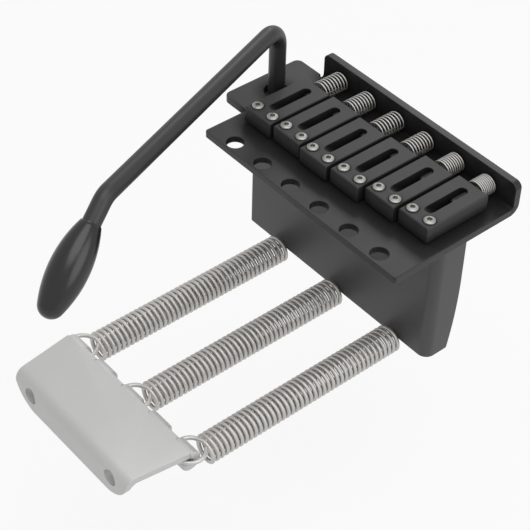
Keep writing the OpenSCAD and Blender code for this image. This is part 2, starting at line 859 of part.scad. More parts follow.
// Points of a tremolo spring: down out of the block, along the coil, and round one of the claw's hooks
function tremolo_path(x) =
    let (
        hole_end = seat_gap + spring_wire / 2 + spring_hole_depth - spring_end_gap,
        coil_steps = spring_turns * 8 + 4,
        ring_start = 25,
        ring_steps = 10,
        at = function (dx, y, dz) [x + dx, y, spring_z + dz]
    )
    concat(
        [
            at(0, spring_hole_y, hole_end),
            at(0, spring_hole_y, seat_gap + spring_wire / 2),
            at(0, spring_hole_y - spring_wire / 5, spring_wire / 4),
            at(0, spring_front + spring_wire, 0)
        ],
        [
            for (t = [0.3, 0.65])
                at(-spring_r * t * cos(90 * t), spring_front + (1 - t) * spring_wire, -spring_r * t * sin(90 * t))
        ],
        [
            for (k = [0 : coil_steps])
                at(spring_r * cos(45 * k - 90), spring_front - spring_l * k / coil_steps,
                   spring_r * sin(45 * k - 90))
        ],
        [
            for (k = [0 : ring_steps])
                let (a = 90 + ring_start + (ring_end - ring_start) * k / ring_steps)
                    at(ring_r * cos(a), ring_y + ring_r * sin(a), ring_rise)
        ]
    );

module tremolo_spring(k) {
    path = tremolo_path(springs_x[k - 1]);
    echo(str("least gap in tremolo spring ", k), least_gap(path, spring_wire, 5));
    color([0.74, 0.72, 0.68])
        wire_tube(path, spring_wire);
}

base_plate();
tremolo_block();
block_screws();
for (i = [1 : strings]) {
    saddle(i);
    height_screws(i);
    intonation_screw(i);
    intonation_spring(i);
}
tremolo_arm();
arm_tip();
spring_claw();
for (k = [1 : 3])
    tremolo_spring(k);
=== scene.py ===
import math
import bpy
from mathutils import Matrix, Vector


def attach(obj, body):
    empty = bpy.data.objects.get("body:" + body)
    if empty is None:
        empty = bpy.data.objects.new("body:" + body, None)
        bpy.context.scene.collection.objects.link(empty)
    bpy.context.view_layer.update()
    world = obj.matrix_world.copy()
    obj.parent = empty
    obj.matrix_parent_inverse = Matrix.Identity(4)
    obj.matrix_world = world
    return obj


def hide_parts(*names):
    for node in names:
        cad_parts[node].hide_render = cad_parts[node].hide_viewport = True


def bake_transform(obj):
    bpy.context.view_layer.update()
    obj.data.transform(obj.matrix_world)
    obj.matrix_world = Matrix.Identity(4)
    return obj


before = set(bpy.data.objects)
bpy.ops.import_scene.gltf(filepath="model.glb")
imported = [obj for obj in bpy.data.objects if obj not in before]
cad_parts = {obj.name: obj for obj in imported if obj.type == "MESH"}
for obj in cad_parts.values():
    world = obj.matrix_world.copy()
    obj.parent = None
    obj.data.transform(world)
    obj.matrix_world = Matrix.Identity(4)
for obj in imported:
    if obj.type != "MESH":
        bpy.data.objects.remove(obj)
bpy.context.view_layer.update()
print("frame loaded:", len(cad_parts), "nodes")

# Lengths are in mm, as in the drawing, and become metres where a mesh is made
strings = {"pitch": 10.5, "saddleY": [9.5, 9.92, 9.37, 10.04, 11.68, 12.69]}


def stringX(number):
    return (number - 3.5) * strings["pitch"]


# ---- camera, floor and light

camera = {"lens": 109.29, "sensor": 36, "at": (216.033, -200.292, 247.876),
          "right": (0.641263, 0.766984, 0.022729), "up": (-0.530096, 0.421399, 0.735813),
          "back": (0.554779, -0.483898, 0.676803)}
stage = {"floorZ": -110, "floorSize": 6000, "floorColour": 0.9, "shadowShare": 0.15, "backdrop": 0.975,
         "worldStrength": 0.74}
lamps = [
    {"name": "topSoftbox", "at": (120, -60, 620), "aim": (0, 10, -10), "size": 560, "power": 1.6},
    {"name": "rightSoftbox", "at": (560, 120, 300), "aim": (0, 10, -10), "size": 520, "power": 1.15},
    {"name": "backSoftbox", "at": (-330, 450, 420), "aim": (-30, 20, -10), "size": 260, "power": 0.6},
]


def setCamera():
    bpy.ops.object.camera_add()
    eye = bpy.context.object
    eye.name = "photoCamera"
    eye.data.sensor_width = camera["sensor"]
    eye.data.lens = camera["lens"]
    eye.data.clip_start = 0.01
    eye.data.clip_end = 50
    columns = [camera["right"], camera["up"], camera["back"], Vector(camera["at"]) / 1000]
    eye.matrix_world = Matrix([[column[row] for column in columns] for row in range(3)] + [[0, 0, 0, 1]])
    bpy.context.scene.camera = eye


def newNode(tree, kind, **values):
    node = tree.nodes.new(kind)
    for name, value in values.items():
        setattr(node, name, value)
    return node


def seenDirectly(tree):
    # 1 for rays from the camera, mirrors and glass, which see the plain backdrop
    light = newNode(tree, "ShaderNodeLightPath")
    total = light.outputs["Is Camera Ray"]
    for name in ("Is Glossy Ray", "Is Transmission Ray"):
        larger = newNode(tree, "ShaderNodeMath", operation="MAXIMUM")
        tree.links.new(total, larger.inputs[0])
        tree.links.new(light.outputs[name], larger.inputs[1])
        total = larger.outputs[0]
    return total


def setStage():
    bpy.ops.mesh.primitive_plane_add(size=stage["floorSize"] / 1000, location=(0, 0, stage["floorZ"] / 1000))
    floor = bpy.context.object
    floor.name = "paleFloor"
    paint = bpy.data.materials.new("palePaper")
    paint.use_nodes = True
    tree = paint.node_tree
    tree.nodes.clear()
    pale = newNode(tree, "ShaderNodeBsdfDiffuse")
    pale.inputs["Color"].default_value = (*[stage["floorColour"]] * 3, 1)
    glow = newNode(tree, "ShaderNodeEmission")
    glow.inputs["Color"].default_value = (*[stage["backdrop"]] * 3, 1)
    share = newNode(tree, "ShaderNodeMath", operation="MULTIPLY")
    share.inputs[1].default_value = 1 - stage["shadowShare"]
    tree.links.new(seenDirectly(tree), share.inputs[0])
    mixed = newNode(tree, "ShaderNodeMixShader")
    tree.links.new(share.outputs[0], mixed.inputs[0])
    tree.links.new(pale.outputs[0], mixed.inputs[1])
    tree.links.new(glow.outputs[0], mixed.inputs[2])
    # From below the floor lets the view through
    clear = newNode(tree, "ShaderNodeBsdfTransparent")
    side = newNode(tree, "ShaderNodeNewGeometry")
    whole = newNode(tree, "ShaderNodeMixShader")
    tree.links.new(side.outputs["Backfacing"], whole.inputs[0])
    tree.links.new(mixed.outputs[0], whole.inputs[1])
    tree.links.new(clear.outputs[0], whole.inputs[2])
    out = newNode(tree, "ShaderNodeOutputMaterial")
    tree.links.new(whole.outputs[0], out.inputs["Surface"])
    floor.data.materials.append(paint)

    world = bpy.data.worlds.new("softRoom")
    bpy.context.scene.world = world
    world.use_nodes = True
    tree = world.node_tree
    tree.nodes.clear()
    strength = newNode(tree, "ShaderNodeMapRange")
    strength.inputs["To Min"].default_value = stage["worldStrength"]
    strength.inputs["To Max"].default_value = stage["backdrop"]
    tree.links.new(seenDirectly(tree), strength.inputs["Value"])
    glow = newNode(tree, "ShaderNodeBackground")
    tree.links.new(strength.outputs[0], glow.inputs["Strength"])
    out = newNode(tree, "ShaderNodeOutputWorld")
    tree.links.new(glow.outputs[0], out.inputs["Surface"])


def setLamps():
    for lamp in lamps:
        bpy.ops.object.light_add(type="AREA", location=Vector(lamp["at"]) / 1000)
        light = bpy.context.object
        light.name = lamp["name"]
        light.data.shape = "DISK"
        light.data.size = lamp["size"] / 1000
        light.data.energy = lamp["power"]
        aim = Vector(lamp["aim"]) - Vector(lamp["at"])
        light.rotation_euler = aim.to_track_quat("-Z", "Y").to_euler()


bpy.context.scene.view_settings.view_transform = "Standard"
setCamera()
setStage()
setLamps()
print("camera, floor and light set")

# ---- modelling helpers


def clearSelection():
    if bpy.context.object and bpy.context.object.mode != "OBJECT":
        bpy.ops.object.mode_set(mode="OBJECT")
    bpy.ops.object.select_all(action="DESELECT")


def takeUp(piece):
    clearSelection()
    piece.select_set(True)
    bpy.context.view_layer.objects.active = piece


def named(name):
    piece = bpy.context.object
    piece.name = name
    piece.data.name = name
    return piece


def addBox(name, low, high):
    clearSelection()
    low, high = Vector(low) / 1000, Vector(high) / 1000
    bpy.ops.mesh.primitive_cube_add(size=1, location=(low + high) / 2)
    piece = named(name)
    piece.scale = high - low
    bpy.ops.object.transform_apply(location=True, rotation=True, scale=True)
    return piece


def place(piece, at, turn=(0, 0, 0)):
    takeUp(piece)
    piece.location = Vector(at) / 1000
    piece.rotation_euler = [math.radians(angle) for angle in turn]
    bpy.ops.object.transform_apply(location=True, rotation=True, scale=True)
    return piece


def turnRings(name, rings, sides=48):
    # A round solid from (radius, height) rings, each drawn out of the one before
    clearSelection()
    radius, height = rings[0]
    bpy.ops.mesh.primitive_circle_add(vertices=sides, radius=radius / 1000, fill_type="NGON",
                                      location=(0, 0, height / 1000))
    piece = named(name)
    bpy.ops.object.transform_apply(location=True, rotation=True, scale=True)
    bpy.ops.object.mode_set(mode="EDIT")
    bpy.ops.mesh.select_mode(type="FACE")
    bpy.ops.mesh.select_all(action="SELECT")
    for nextRadius, nextHeight in rings[1:]:
        bpy.ops.mesh.extrude_region_move(
            TRANSFORM_OT_translate={"value": (0, 0, (nextHeight - height) / 1000)})
        if nextRadius == 0:
            bpy.ops.mesh.merge(type="CENTER")
            break
        ratio = nextRadius / radius
        if ratio != 1:
            bpy.ops.transform.resize(value=(ratio, ratio, 1), center_override=(0, 0, nextHeight / 1000))
        radius, height = nextRadius, nextHeight
    bpy.ops.mesh.select_all(action="SELECT")
    bpy.ops.mesh.normals_make_consistent(inside=False)
    bpy.ops.object.mode_set(mode="OBJECT")
    return piece


def addDrill(at, radius, depth, turn=(0, 0, 0), sides=48):
    # A plain round cutter that runs from a point along +Z, or as turned
    return place(turnRings("drill", [(radius, 0), (radius, depth)], sides), at, turn)


def pick(piece, kind, test):
    # Selects what passes the test, by its place in mm, and goes into edit mode
    takeUp(piece)
    bpy.ops.object.mode_set(mode="EDIT")
    bpy.ops.mesh.select_mode(type=kind)
    bpy.ops.mesh.select_all(action="DESELECT")
    bpy.ops.object.mode_set(mode="OBJECT")
    mesh = piece.data
    if kind == "VERT":
        for vertex in mesh.vertices:
            vertex.select = test(vertex.co * 1000)
    elif kind == "EDGE":
        for edge in mesh.edges:
            edge.select = test(*(mesh.vertices[end].co * 1000 for end in edge.vertices))
    else:
        for face in mesh.polygons:
            face.select = test(face.center * 1000, face.normal)
    bpy.ops.object.mode_set(mode="EDIT")


def near(value, wanted):
    return abs(value - wanted) < 0.01


# How far a cutter reaches past the face that it opens, and how far joined solids run into each other
cutPast = 1
overlap = 0.02


def roundEdges(piece, test, radius, segments):
    pick(piece, "EDGE", test)
    bpy.ops.mesh.bevel(offset=radius / 1000, segments=segments, affect="EDGES")
    bpy.ops.object.mode_set(mode="OBJECT")


def drawOut(move):
    bpy.ops.mesh.extrude_region_move(TRANSFORM_OT_translate={"value": Vector(move) / 1000})


def spinOut(centre, axis, degrees, steps):
    # The operator turns against the right hand, so the angle goes in reversed
    bpy.ops.mesh.spin(steps=steps, angle=-math.radians(degrees), center=Vector(centre) / 1000, axis=axis)


def applyModifier(piece, kind, **values):
    takeUp(piece)
    modifier = piece.modifiers.new("step", kind)
    for name, value in values.items():
        setattr(modifier, name, value)
    bpy.ops.object.modifier_apply(modifier="step")


def cut(piece, cutters, how="DIFFERENCE"):
    clearSelection()
    for cutter in cutters:
        cutter.select_set(True)
    bpy.context.view_layer.objects.active = cutters[0]
    if len(cutters) > 1:
        bpy.ops.object.join()
    applyModifier(piece, "BOOLEAN", operation=how, solver="EXACT", object=cutters[0])
    bpy.data.objects.remove(cutters[0])
    weld(piece)


def weld(piece):
    takeUp(piece)
    bpy.ops.object.mode_set(mode="EDIT")
    bpy.ops.mesh.select_all(action="SELECT")
    bpy.ops.mesh.remove_doubles(threshold=1e-6)
    bpy.ops.object.mode_set(mode="OBJECT")


def softenEdges(piece, width, segments=2, leave=None):
    # Bevels the sharp edges, but for those that the test leaves out
    takeUp(piece)
    bpy.ops.object.mode_set(mode="EDIT")
    bpy.ops.mesh.select_mode(type="EDGE")
    bpy.ops.mesh.select_all(action="DESELECT")
    bpy.ops.mesh.edges_select_sharp(sharpness=math.radians(32))
    if leave:
        bpy.ops.object.mode_set(mode="OBJECT")
        mesh = piece.data
        wanted = [edge.index for edge in mesh.edges
                  if edge.select and not leave(*(mesh.vertices[end].co * 1000 for end in edge.vertices))]
        bpy.ops.object.mode_set(mode="EDIT")
        bpy.ops.mesh.select_all(action="DESELECT")
        bpy.ops.object.mode_set(mode="OBJECT")
        for index in wanted:
            mesh.edges[index].select = True
        bpy.ops.object.mode_set(mode="EDIT")
    bpy.ops.mesh.bevel(offset=width / 1000, segments=segments, affect="EDGES", clamp_overlap=False)
    bpy.ops.object.mode_set(mode="OBJECT")


def duplicate(piece, name, move):
    copy = piece.copy()
    copy.data = piece.data.copy()
    copy.name = copy.data.name = name
    bpy.context.collection.objects.link(copy)
    return place(copy, move)


def joinPieces(first, others):
    clearSelection()
    for piece in [first, *others]:
        piece.select_set(True)
    bpy.context.view_layer.objects.active = first
    bpy.ops.object.join()
    return first


def shade(piece, degrees=30, weighted=True):
    takeUp(piece)
    bpy.ops.object.shade_smooth_by_angle(angle=math.radians(degrees))
    if weighted:
        applyModifier(piece, "WEIGHTED_NORMAL", keep_sharp=True, weight=80)


def hand(piece, finish, body, node):
    # Gives the finished piece its finish, its body and the solid that it stands for
    piece.data.materials.clear()
    piece.data.materials.append(finishes[finish])
    if body:
        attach(piece, body)
    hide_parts(node)


def rollThread(piece, low, high, pitch, depth):
    # Presses a screw thread into a shaft of close rings, fading out at both ends
    for vertex in piece.data.vertices:
        x, y, z = vertex.co * 1000
        if z < low or z > high or math.hypot(x, y) < 0.01:
            continue
        phase = (z / pitch - math.atan2(y, x) / (2 * math.pi)) % 1
        fade = min(1, (z - low) / pitch, (high - z) / pitch)
        radius = math.hypot(x, y)
        factor = (radius - depth * fade * abs(2 * phase - 1)) / radius
        vertex.co.x *= factor
        vertex.co.y *= factor


def dome(radius, base, height, steps):
    # Rings of a dome, up to the point at its top
    ball = (radius * radius + height * height) / (2 * height)
    rings = []
    for step in range(1, steps):
        across = radius * (1 - step / steps)
        rings.append((across, base + height - ball + math.sqrt(ball * ball - across * across)))
    return [*rings, (0, base + height)]


# ---- finishes


def setInputs(node, values):
    for name, value in values.items():
        node.inputs[name].default_value = value


def groupSocket(group, name, inOut, kind="NodeSocketFloat", value=None):
    socket = group.interface.new_socket(name=name, in_out=inOut, socket_type=kind)
    if value is not None:
        socket.default_value = value


def makeGrainGroup():
    # Fine blasted grain over broad soft patches
    group = bpy.data.node_groups.new("metalGrain", "ShaderNodeTree")
    for name, value in (("Grain Scale", 3200), ("Patch Scale", 90), ("Grain Share", 0.5)):
        groupSocket(group, name, "INPUT", value=value)
    for name in ("Shade", "Height"):
        groupSocket(group, name, "OUTPUT")
    start = newNode(group, "NodeGroupInput")
    end = newNode(group, "NodeGroupOutput")
    where = newNode(group, "ShaderNodeTexCoord")
    grain = newNode(group, "ShaderNodeTexNoise")
    setInputs(grain, {"Detail": 3})
    patch = newNode(group, "ShaderNodeTexNoise")
    setInputs(patch, {"Detail": 4, "Roughness": 0.6})
    for texture, scale in ((grain, "Grain Scale"), (patch, "Patch Scale")):
        group.links.new(where.outputs["Object"], texture.inputs["Vector"])
        group.links.new(start.outputs[scale], texture.inputs["Scale"])
    mixed = newNode(group, "ShaderNodeMix")
    group.links.new(start.outputs["Grain Share"], mixed.inputs[0])
    group.links.new(patch.outputs["Fac"], mixed.inputs[2])
    group.links.new(grain.outputs["Fac"], mixed.inputs[3])
    group.links.new(mixed.outputs[0], end.inputs["Shade"])
    group.links.new(grain.outputs["Fac"], end.inputs["Height"])
    return group


def makeEdgeHighlightGroup():
    # 1 along the sharp outer edges, broken up by noise, 0 on the flats: where the edges are lightened as painted
    # highlight
    group = bpy.data.node_groups.new("paintedEdgeHighlight", "ShaderNodeTree")
    for name, value in (("Radius", 0.0003), ("Gain", 3.0)):
        groupSocket(group, name, "INPUT", value=value)
    groupSocket(group, "Highlight", "OUTPUT")
    start = newNode(group, "NodeGroupInput")
    end = newNode(group, "NodeGroupOutput")
    rounded = newNode(group, "ShaderNodeBevel", samples=4)
    group.links.new(start.outputs["Radius"], rounded.inputs["Radius"])
    true = newNode(group, "ShaderNodeNewGeometry")
    dot = newNode(group, "ShaderNodeVectorMath", operation="DOT_PRODUCT")
    group.links.new(rounded.outputs[0], dot.inputs[0])
    group.links.new(true.outputs["True Normal"], dot.inputs[1])
    bend = newNode(group, "ShaderNodeMath", operation="SUBTRACT")
    bend.inputs[0].default_value = 1
    group.links.new(dot.outputs["Value"], bend.inputs[1])
    gain = newNode(group, "ShaderNodeMath", operation="MULTIPLY", use_clamp=True)
    group.links.new(bend.outputs[0], gain.inputs[0])
    group.links.new(start.outputs["Gain"], gain.inputs[1])
    where = newNode(group, "ShaderNodeTexCoord")
    highlightBreakup = newNode(group, "ShaderNodeTexNoise")
    setInputs(highlightBreakup, {"Scale": 420, "Detail": 4})
    group.links.new(where.outputs["Object"], highlightBreakup.inputs["Vector"])
    broken = newNode(group, "ShaderNodeMath", operation="MULTIPLY")
    group.links.new(gain.outputs[0], broken.inputs[0])
    group.links.new(highlightBreakup.outputs["Fac"], broken.inputs[1])
    group.links.new(broken.outputs[0], end.inputs["Highlight"])
    return group


def makePaintedShadeGroup():
    # 0 in slots and corners and 1 on open faces; where it is low, the black is darkened as painted shade and made
    # dull
    group = bpy.data.node_groups.new("paintedShadeOpenness", "ShaderNodeTree")
    groupSocket(group, "Reach", "INPUT", value=0.0035)
    groupSocket(group, "Open", "OUTPUT")
    start = newNode(group, "NodeGroupInput")
    end = newNode(group, "NodeGroupOutput")
    shelter = newNode(group, "ShaderNodeAmbientOcclusion", samples=6)
    group.links.new(start.outputs["Reach"], shelter.inputs["Distance"])
    spread = newNode(group, "ShaderNodeMapRange")
    setInputs(spread, {"From Min": 0.68, "From Max": 1.0})
    group.links.new(shelter.outputs["AO"], spread.inputs["Value"])
    group.links.new(spread.outputs[0], end.inputs["Open"])
    return group


grainGroup = makeGrainGroup()
edgeHighlightGroup = makeEdgeHighlightGroup()
paintedShadeGroup = makePaintedShadeGroup()
# How dark the painted shade in slots and corners gets, as a share of the dark tone
paintedShadeLevel = 0.1


def makeFinish(name, dark, light, edge, rough, metallic=0.0, grainScale=3200, patchScale=90, grainShare=0.5,
               bump=0.1, bumpDistance=0.02, edgeRadius=0.3, edgeGain=2.0, specular=0.5, paintedShadeReach=None):
    # Lengths in mm: how far the bump stands out, the radius of the painted edge highlight and how far the painted
    # shade in recesses reaches
    material = bpy.data.materials.new(name)
    material.use_nodes = True
    tree = material.node_tree
    surface = tree.nodes["Principled BSDF"]
    setInputs(surface, {"Metallic": metallic, "Specular IOR Level": specular})
    grain = newNode(tree, "ShaderNodeGroup", node_tree=grainGroup)
    setInputs(grain, {"Grain Scale": grainScale, "Patch Scale": patchScale, "Grain Share": grainShare})
    # Painted highlight: the edge mask lightens the sharp edges towards the edge colour
    edgeHighlightMask = newNode(tree, "ShaderNodeGroup", node_tree=edgeHighlightGroup)
    setInputs(edgeHighlightMask, {"Radius": edgeRadius / 1000, "Gain": edgeGain})
    colour = newNode(tree, "ShaderNodeMix", data_type="RGBA")
    setInputs(colour, {6: (*dark, 1), 7: (*light, 1)})
    tree.links.new(grain.outputs["Shade"], colour.inputs[0])
    highlightedEdges = newNode(tree, "ShaderNodeMix", data_type="RGBA")
    setInputs(highlightedEdges, {7: (*edge, 1)})
    tree.links.new(edgeHighlightMask.outputs["Highlight"], highlightedEdges.inputs[0])
    tree.links.new(colour.outputs[2], highlightedEdges.inputs[6])
    final = highlightedEdges.outputs[2]
    gloss = newNode(tree, "ShaderNodeMapRange")
    setInputs(gloss, {"From Min": 0.3, "From Max": 0.7, "To Min": rough[0], "To Max": rough[1]})
    tree.links.new(grain.outputs["Shade"], gloss.inputs["Value"])
    roughness = gloss.outputs[0]
    # Painted shade: in slots and corners the colour falls towards the dark tone times the painted shade level, and
    # the surface turns rough
    if paintedShadeReach:
        paintedShadeMask = newNode(tree, "ShaderNodeGroup", node_tree=paintedShadeGroup)
        setInputs(paintedShadeMask, {"Reach": paintedShadeReach / 1000})
        shaded = newNode(tree, "ShaderNodeMix", data_type="RGBA")
        setInputs(shaded, {6: (*[channel * paintedShadeLevel for channel in dark], 1)})
        tree.links.new(paintedShadeMask.outputs["Open"], shaded.inputs[0])
        tree.links.new(final, shaded.inputs[7])
        final = shaded.outputs[2]
        matt = newNode(tree, "ShaderNodeMix")
        setInputs(matt, {2: 1})
        tree.links.new(paintedShadeMask.outputs["Open"], matt.inputs[0])
        tree.links.new(roughness, matt.inputs[3])
        roughness = matt.outputs[0]
    tree.links.new(final, surface.inputs["Base Color"])
    tree.links.new(roughness, surface.inputs["Roughness"])
    relief = newNode(tree, "ShaderNodeBump")
    setInputs(relief, {"Strength": bump, "Distance": bumpDistance / 1000})
    tree.links.new(grain.outputs["Height"], relief.inputs["Height"])
    tree.links.new(relief.outputs["Normal"], surface.inputs["Normal"])
    return material


# The plate and the saddles take painted shade in their slots and corners; each edge colour is a painted edge
# highlight
finishes = {
    "blackPlate": makeFinish("satinBlackPlate", dark=(0.009, 0.009, 0.0092), light=(0.015, 0.015, 0.0153),
                             edge=(0.09, 0.09, 0.09), rough=(0.34, 0.46), bump=0.2, specular=0.38, paintedShadeReach=5),
    # The block's black is lighter than the plate's; part of that lift is painted light, standing in for the light
    # thrown up from below onto its front
    "blackBlock": makeFinish("satinBlackBlock", dark=(0.038, 0.038, 0.0385), light=(0.056, 0.056, 0.0565),
                             edge=(0.09, 0.09, 0.09), rough=(0.42, 0.54), bump=0.3, patchScale=60),
    "blackSaddle": makeFinish("satinBlackSaddle", dark=(0.028, 0.028, 0.0285), light=(0.042, 0.042, 0.0425),
                              edge=(0.12, 0.12, 0.12), rough=(0.44, 0.56), bump=0.4, grainScale=2600, specular=0.3,
                              paintedShadeReach=3.5),
    "blackScrew": makeFinish("blackScrew", dark=(0.01, 0.01, 0.01), light=(0.018, 0.018, 0.018),
                             edge=(0.1, 0.1, 0.1), rough=(0.28, 0.4), edgeRadius=0.15),
    "brightNickel": makeFinish("brightNickel", dark=(0.3, 0.295, 0.28), light=(0.42, 0.415, 0.4),
                               edge=(0.5, 0.49, 0.475), rough=(0.4, 0.5), metallic=1.0, bump=0.05, edgeRadius=0.15),
    "springWire": makeFinish("nickelWire", dark=(0.5, 0.485, 0.465), light=(0.6, 0.585, 0.565),
                             edge=(0.66, 0.64, 0.62), rough=(0.45, 0.55), metallic=0.85, bump=0.1, grainScale=4200,
                             edgeRadius=0.1),
    "blackArm": makeFinish("satinBlackArm", dark=(0.014, 0.014, 0.0145), light=(0.024, 0.024, 0.0245),
                           edge=(0.08, 0.08, 0.08), rough=(0.38, 0.48), bump=0.2),
    "tipPlastic": makeFinish("blackTipPlastic", dark=(0.008, 0.008, 0.008), light=(0.013, 0.013, 0.013),
                             edge=(0.03, 0.03, 0.03), rough=(0.2, 0.28), bump=0.04, grainScale=1500, patchScale=40),
    "clawZinc": makeFinish("satinZinc", dark=(0.5, 0.5, 0.495), light=(0.57, 0.57, 0.565),
                           edge=(0.58, 0.58, 0.575), rough=(0.48, 0.58), metallic=0.4, bump=0.12, patchScale=120),
}
print("finishes mixed:", len(finishes))

# ---- base plate with its bent flange

plate = {"left": -34.7, "right": 34.6, "front": -2.9, "thick": 2, "bendY": 34.9, "bendZ": 0.8, "flangeTop": 7.2,
         "bendSteps": 10, "flangeLeft": -33.7, "frontRound": 0.6, "frontSteps": 5, "topRound": 1.8, "earLeft": -43.65,
         "earFront": 10.3, "earBack": 35.7, "earRound": 1.8, "earOverlap": 0.05, "cornerSteps": 10, "pivotR": 2.3,
         "pivotChamfer": 0.3, "pivotSides": 56, "stringR": 1.5, "stringY": 22.4, "screwR": 1.45, "screwZ": 2.9,
         "armR": 3.225, "armAt": (-36.43, 21.95), "armSides": 64, "edge": 0.16}


def makePlate():
    p = plate
    piece = addBox("basePlate", (p["left"], p["front"], -p["thick"]), (p["right"], p["bendY"], 0))
    pick(piece, "FACE", lambda centre, normal: normal.y > 0.9)
    spinOut((0, p["bendY"], p["bendZ"]), (1, 0, 0), 90, p["bendSteps"])
    drawOut((0, 0, p["flangeTop"] - p["bendZ"]))
    # The flange's end stands back from the plate's on the arm's side
    pick(piece, "VERT", lambda at: near(at.x, p["left"]) and at.y > p["bendY"] + 0.01)
    bpy.ops.transform.translate(value=((p["flangeLeft"] - p["left"]) / 1000, 0, 0))
    bpy.ops.object.mode_set(mode="OBJECT")
    roundEdges(piece, lambda a, b: near(a.y, p["front"]) and near(b.y, p["front"]) and near(a.x, b.x),
               p["frontRound"], p["frontSteps"])
    roundEdges(piece, lambda a, b: near(a.z, p["flangeTop"]) and near(b.z, p["flangeTop"]) and near(a.x, b.x),
               p["topRound"], p["cornerSteps"])
    ear = addBox("ear", (p["earLeft"], p["earFront"], -p["thick"]), (p["left"] + p["earOverlap"], p["earBack"], 0))
    roundEdges(ear, lambda a, b: near(a.x, p["earLeft"]) and near(b.x, p["earLeft"]) and near(a.y, b.y),
               p["earRound"], p["cornerSteps"])
    cut(piece, [ear], "UNION")
    below, through = -p["thick"] - cutPast, p["thick"] + 2 * cutPast
    drills = [addDrill((*p["armAt"], below), p["armR"], through, sides=p["armSides"])]
    for number in range(1, 7):
        x = stringX(number)
        low, wide = -p["thick"], p["pivotR"] + p["pivotChamfer"]
        rings = [(wide, low - cutPast), (wide, low), (p["pivotR"], low + p["pivotChamfer"]), (p["pivotR"], cutPast)]
        drills.append(place(turnRings("pivotHole", rings, p["pivotSides"]), (x, 0, 0)))
        drills.append(addDrill((x, p["stringY"], below), p["stringR"], through))
        drills.append(addDrill((x, p["earBack"] - cutPast, p["screwZ"]), p["screwR"], through, (-90, 0, 0)))
    cut(piece, drills)
    cut(piece, [makeSink(x) for x in blockScrew["x"]])
    softenEdges(piece, p["edge"])
    shade(piece)
    hand(piece, "blackPlate", "bridge", "base_plate")


# ---- the three countersunk screws that hold the block

blockScrew = {"x": (-21, 0, 21), "y": 22.4, "r": 1.5, "headR": 2.8, "length": 12, "sunk": 0.1, "gap": 0.05,
              "tipIn": 0.3, "tipHeight": 0.4, "rim": 0.12, "rimMiddle": (0.02, 0.04), "pitch": 0.5, "perTurn": 4,
              "threadDepth": 0.26, "crossHalf": 1.54, "crossWidth": 0.6, "crossDepth": 1.0, "sides": 32}


def makeSink(x):
    # The screw's hole: shaft, cone and a short bore above the head
    s = blockScrew
    cone, gap = s["headR"] - s["r"], s["gap"]
    rings = [(s["r"] + gap, -s["length"] - gap), (s["r"] + gap, -s["sunk"] - cone), (s["headR"] + gap, -s["sunk"]),
             (s["headR"] + gap, cutPast)]
    return place(turnRings("sink", rings), (x, s["y"], 0))


def makeCross(half, width, depth):
    # A cross-shaped driver tip, narrower at its foot
    footShare = 0.55
    arms = []
    for across in (0, 1):
        size = (half, width / 2) if across == 0 else (width / 2, half)
        arm = addBox("crossArm", (-size[0], -size[1], -depth), (size[0], size[1], cutPast))
        pick(arm, "VERT", lambda place: place.z < 0)
        bpy.ops.transform.resize(value=(footShare, footShare, 1), center_override=(0, 0, -depth / 1000))
        bpy.ops.object.mode_set(mode="OBJECT")
        arms.append(arm)
    cut(arms[0], [arms[1]], "UNION")
    return arms[0]


def makeBlockScrews():
    s = blockScrew
    neck = -s["sunk"] - (s["headR"] - s["r"])
    start = -s["length"] + s["tipHeight"]
    count = int((s["length"] + neck) / s["pitch"] * s["perTurn"])
    rings = [(s["r"] - s["tipIn"], -s["length"]), (s["r"], start)]
    rings += [(s["r"], start + (neck - start) * step / count) for step in range(1, count + 1)]
    for inward, fall in ((s["rim"], s["rim"]), s["rimMiddle"], (s["rim"], 0)):
        rings.append((s["headR"] - inward, -s["sunk"] - fall))
    screw = turnRings("blockScrew", rings, s["sides"])
    rollThread(screw, -s["length"], neck, s["pitch"], s["threadDepth"])
    cut(screw, [place(makeCross(s["crossHalf"], s["crossWidth"], s["crossDepth"]), (0, 0, -s["sunk"]))])
    copies = [duplicate(screw, "blockScrewCopy", (x, s["y"], 0)) for x in s["x"]]
    bpy.data.objects.remove(screw)
    piece = joinPieces(copies[0], copies[1:])
    piece.name = piece.data.name = "blockScrews"
    shade(piece)
    hand(piece, "blackScrew", "bridge", "block_screws")


# ---- tremolo block

block = {"left": -40.43, "right": 28.9, "front": 17.68, "back": 27.58, "footBack": 25.38, "top": -2, "foot": -44.64,
         "curveFrom": -22, "curveSteps": 12, "edgeRound": 2.8, "cornerRound": 0.5, "stringR": 1.5, "stringY": 22.4,
         "stringChamfer": 0.4, "springR": 0.8, "springY": 19.28, "springDepth": 5, "springStep": 11,
         "springMiddle": -5.3, "armR": 2.15, "armAt": (-36.43, 21.95), "armFoot": -22, "roundSteps": 10,
         "cornerSteps": 4, "springSides": 32, "edge": 0.16}


